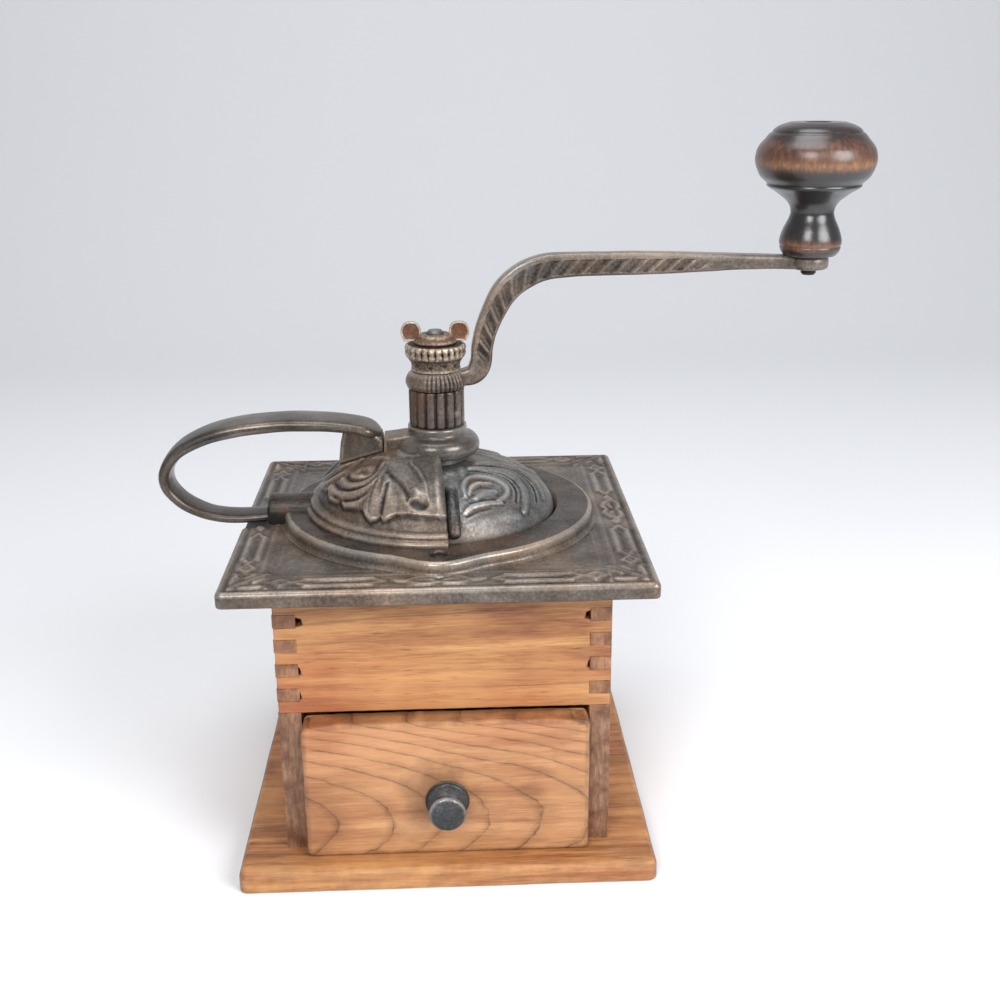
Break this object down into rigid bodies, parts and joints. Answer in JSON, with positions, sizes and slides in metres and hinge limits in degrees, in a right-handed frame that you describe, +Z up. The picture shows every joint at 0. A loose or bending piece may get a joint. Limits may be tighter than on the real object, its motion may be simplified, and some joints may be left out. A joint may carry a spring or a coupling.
{
  "type": "antique box coffee grinder",
  "caption": "Antique hand-cranked coffee grinder: finger-jointed wooden box with drawer, cast-iron top, domed hopper with swinging door, side handle, crank and wooden knob.",
  "frame": {"origin": "centre of the base board's flat underside, which stands on the table", "axes": "+Z up, -Y out of the drawer front, +X towards the crank knob with the crank in its pictured place; the shaft stands at x = -1.2 mm"},
  "size_m": [0.3149, 0.1815, 0.3106],
  "materials": {
    "base_wood": "golden-orange quarter-sawn hardwood with dark streaks, worn satin varnish",
    "box_wood": "honey-orange fine-grained board, worn satin varnish, darker end grain",
    "drawer_wood": "light brown flat-sawn board with thin dark arched grain, worn satin varnish",
    "aged_iron": "dark brown-grey cast iron, raised ornament rubbed paler, traces of rust",
    "worn_plating": "dull worn plating over iron, rusty in the recesses",
    "dark_steel": "dark blue-grey aged steel",
    "knob_iron": "dark blue-grey iron, smooth from handling",
    "knob_lacquer": "dark glossy lacquer on turned wood, worn to orange-brown around the widest part"
  },
  "bodies": {
    "housing": {"base_board": "base_wood", "side_board_left": "box_wood", "side_board_right": "box_wood", "front_board": "box_wood", "back_board": "box_wood", "base_screw_front_left": "dark_steel", "base_screw_front_right": "dark_steel", "base_screw_back_left": "dark_steel", "base_screw_back_right": "dark_steel", "top_plate": "aged_iron", "plate_screw_front": "dark_steel", "plate_screw_back": "dark_steel", "hopper_dome": "aged_iron", "grip_handle": "aged_iron", "handle_screw": "dark_steel", "door_retaining_ring": "dark_steel", "hopper_bowl": "aged_iron", "hopper_screw_left": "dark_steel", "hopper_screw_front": "dark_steel", "hopper_screw_back": "dark_steel", "burr_ring": "dark_steel", "bridge_bar": "aged_iron", "bridge_screw_left": "dark_steel", "bridge_screw_right": "dark_steel"},
    "drawer": {"drawer_front": "drawer_wood", "drawer_side_left": "drawer_wood", "drawer_side_right": "drawer_wood", "drawer_back": "drawer_wood", "drawer_bottom": "drawer_wood", "drawer_knob": "knob_iron", "drawer_knob_screw": "dark_steel"},
    "door": {"hopper_door": "aged_iron"},
    "crank": {"crank_shaft": "dark_steel", "fluted_sleeve": "aged_iron", "crank_arm": "aged_iron", "knob_rivet": "dark_steel", "burr_cone": "dark_steel", "burr_nut": "dark_steel"},
    "knob": {"crank_knob": "knob_lacquer"},
    "collar": {"adjusting_collar": "worn_plating"},
    "wing": {"wing_nut": "worn_plating"}
  },
  "joints": [
    {"name": "drawer_slide", "type": "slide", "parent": "housing", "child": "drawer", "axis": [0, -1, 0], "range_m": [0, 0.095]},
    {"name": "door_turn", "type": "hinge", "parent": "housing", "child": "door", "pos_m": [-0.0012, 0, 0.1655], "axis": [0, 0, 1], "range_deg": [0, 160]},
    {"name": "crank_turn", "type": "hinge", "parent": "housing", "child": "crank", "pos_m": [-0.0012, 0, 0.19], "axis": [0, 0, 1], "continuous": true},
    {"name": "knob_spin", "type": "hinge", "parent": "crank", "child": "knob", "pos_m": [0.1628, 0, 0.28], "axis": [0, 0, 1], "continuous": true},
    {"name": "collar_turn", "type": "hinge", "parent": "crank", "child": "collar", "pos_m": [-0.0012, 0, 0.2128], "axis": [0, 0, 1], "range_deg": [-150, 150]},
    {"name": "wing_nut_turn", "type": "hinge", "parent": "crank", "child": "wing", "pos_m": [-0.0012, 0, 0.2215], "axis": [0, 0, 1], "range_deg": [0, 180]}
  ]
}
